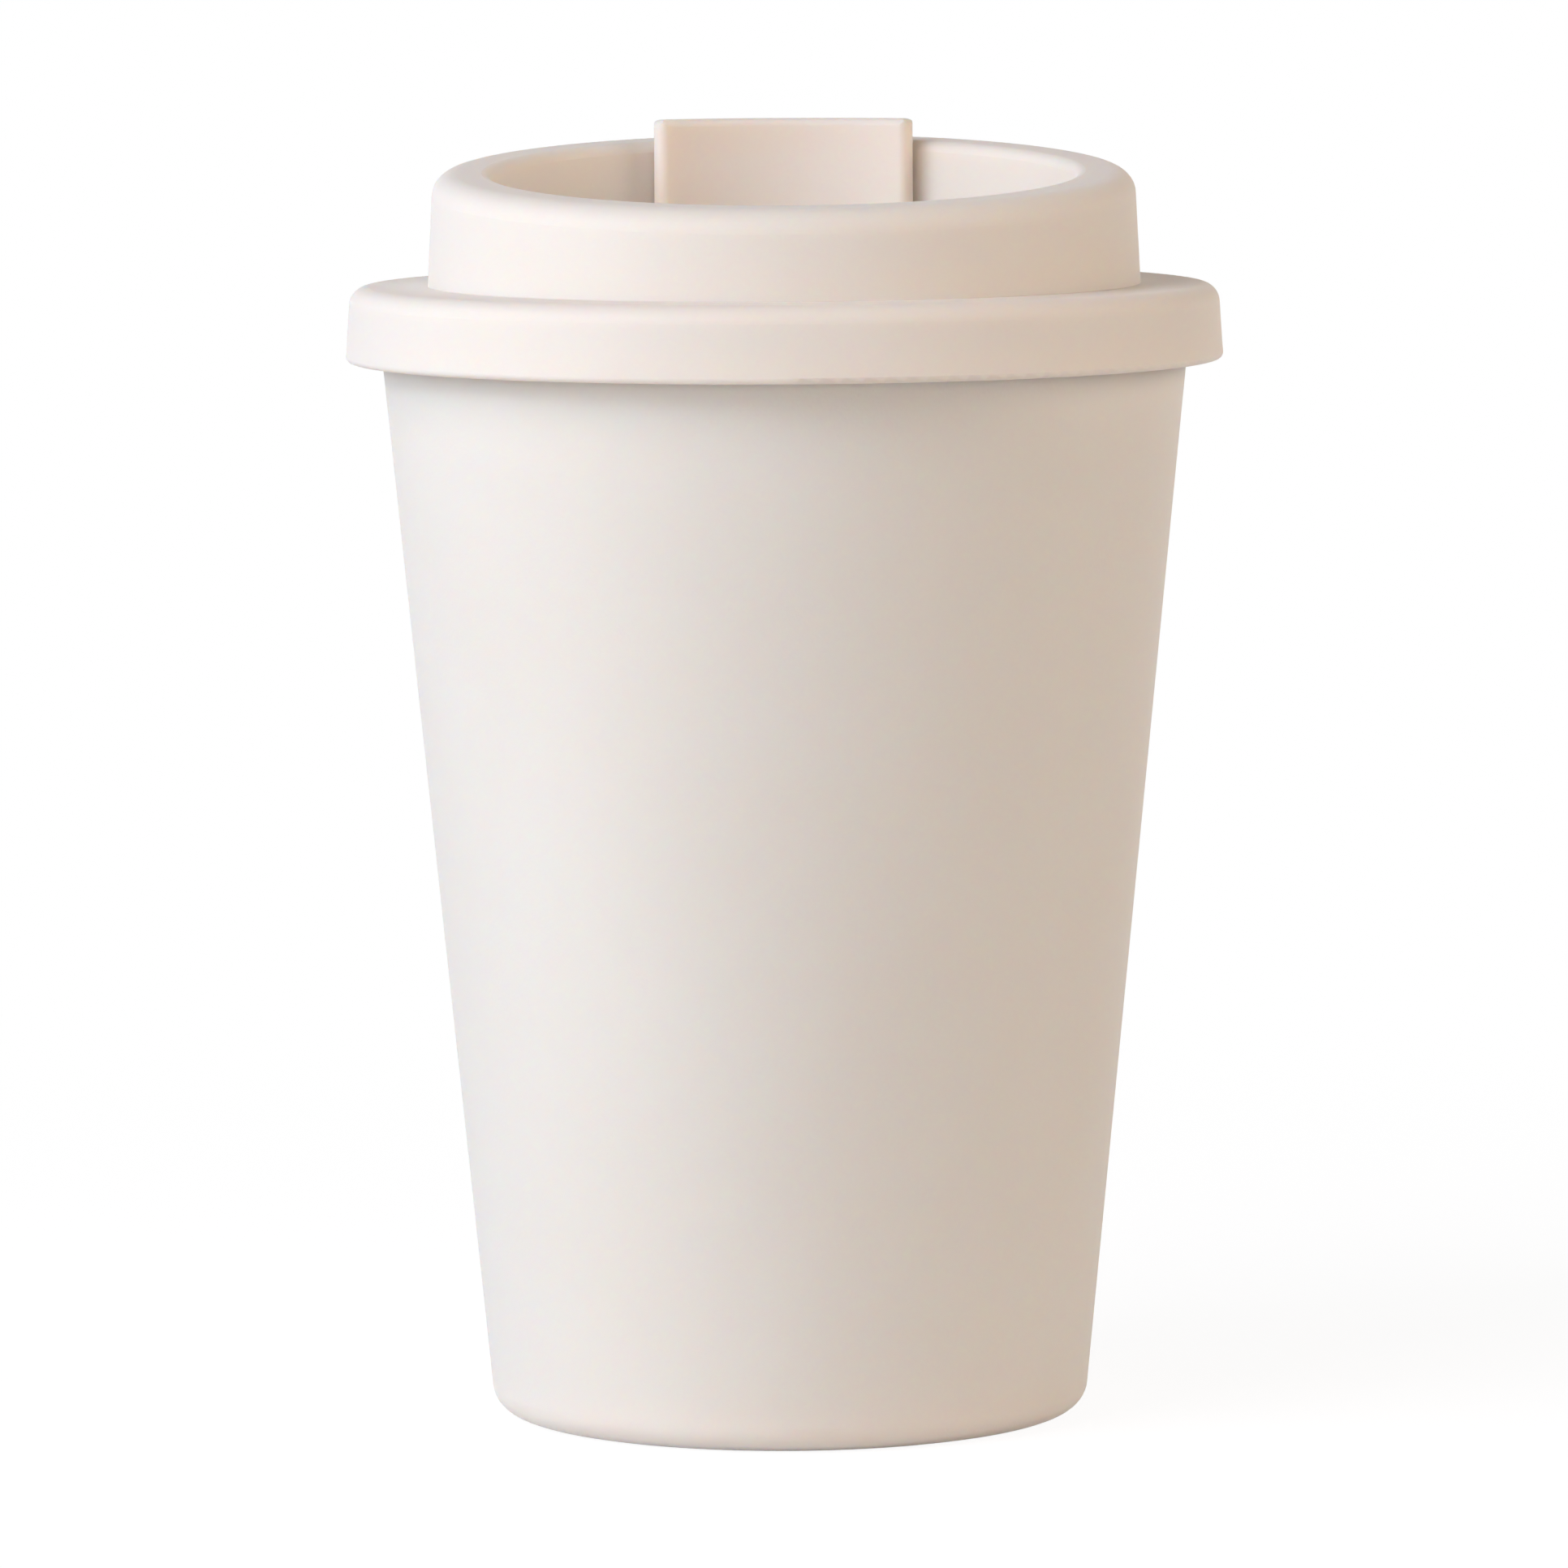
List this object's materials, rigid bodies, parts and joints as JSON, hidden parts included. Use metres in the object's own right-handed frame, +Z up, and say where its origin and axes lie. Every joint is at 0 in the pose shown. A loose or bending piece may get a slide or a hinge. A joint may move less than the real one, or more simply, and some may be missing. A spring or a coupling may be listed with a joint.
{
  "type": "double-walled mug",
  "caption": "Double-walled plastic mug shaped like a takeaway cup, with a press-on lid, a sloping rim and a hinged mouth flap in the lid's well.",
  "frame": {"origin": "middle of the foot, on the surface that the mug stands on", "axes": "+Z up the mug's axis, +Y towards the drinking hole and the finger tab, +X to the right seen from the front"},
  "size_m": [0.093, 0.0928, 0.1368],
  "materials": {
    "cream_shell": "satin moulded polypropylene",
    "cream_liner": "satin moulded polypropylene",
    "cream_lid": "satin moulded polypropylene",
    "cream_flap": "satin moulded polypropylene",
    "silicone": "matt translucent silicone"
  },
  "bodies": {
    "cup": {"outer_wall": "cream_shell", "inner_wall": "cream_liner"},
    "lid": {"lid": "cream_lid", "lid_gasket": "silicone"},
    "flap": {"flap": "cream_flap", "flap_stopper": "silicone"}
  },
  "joints": [
    {"name": "lid_lift", "type": "slide", "parent": "cup", "child": "lid", "axis": [0, 0, 1], "range_m": [0, 0.06]},
    {"name": "flap_hinge", "type": "hinge", "parent": "lid", "child": "flap", "pos_m": [0, 0.004, 0.1227], "axis": [1, 0, 0], "range_deg": [0, 150]}
  ]
}
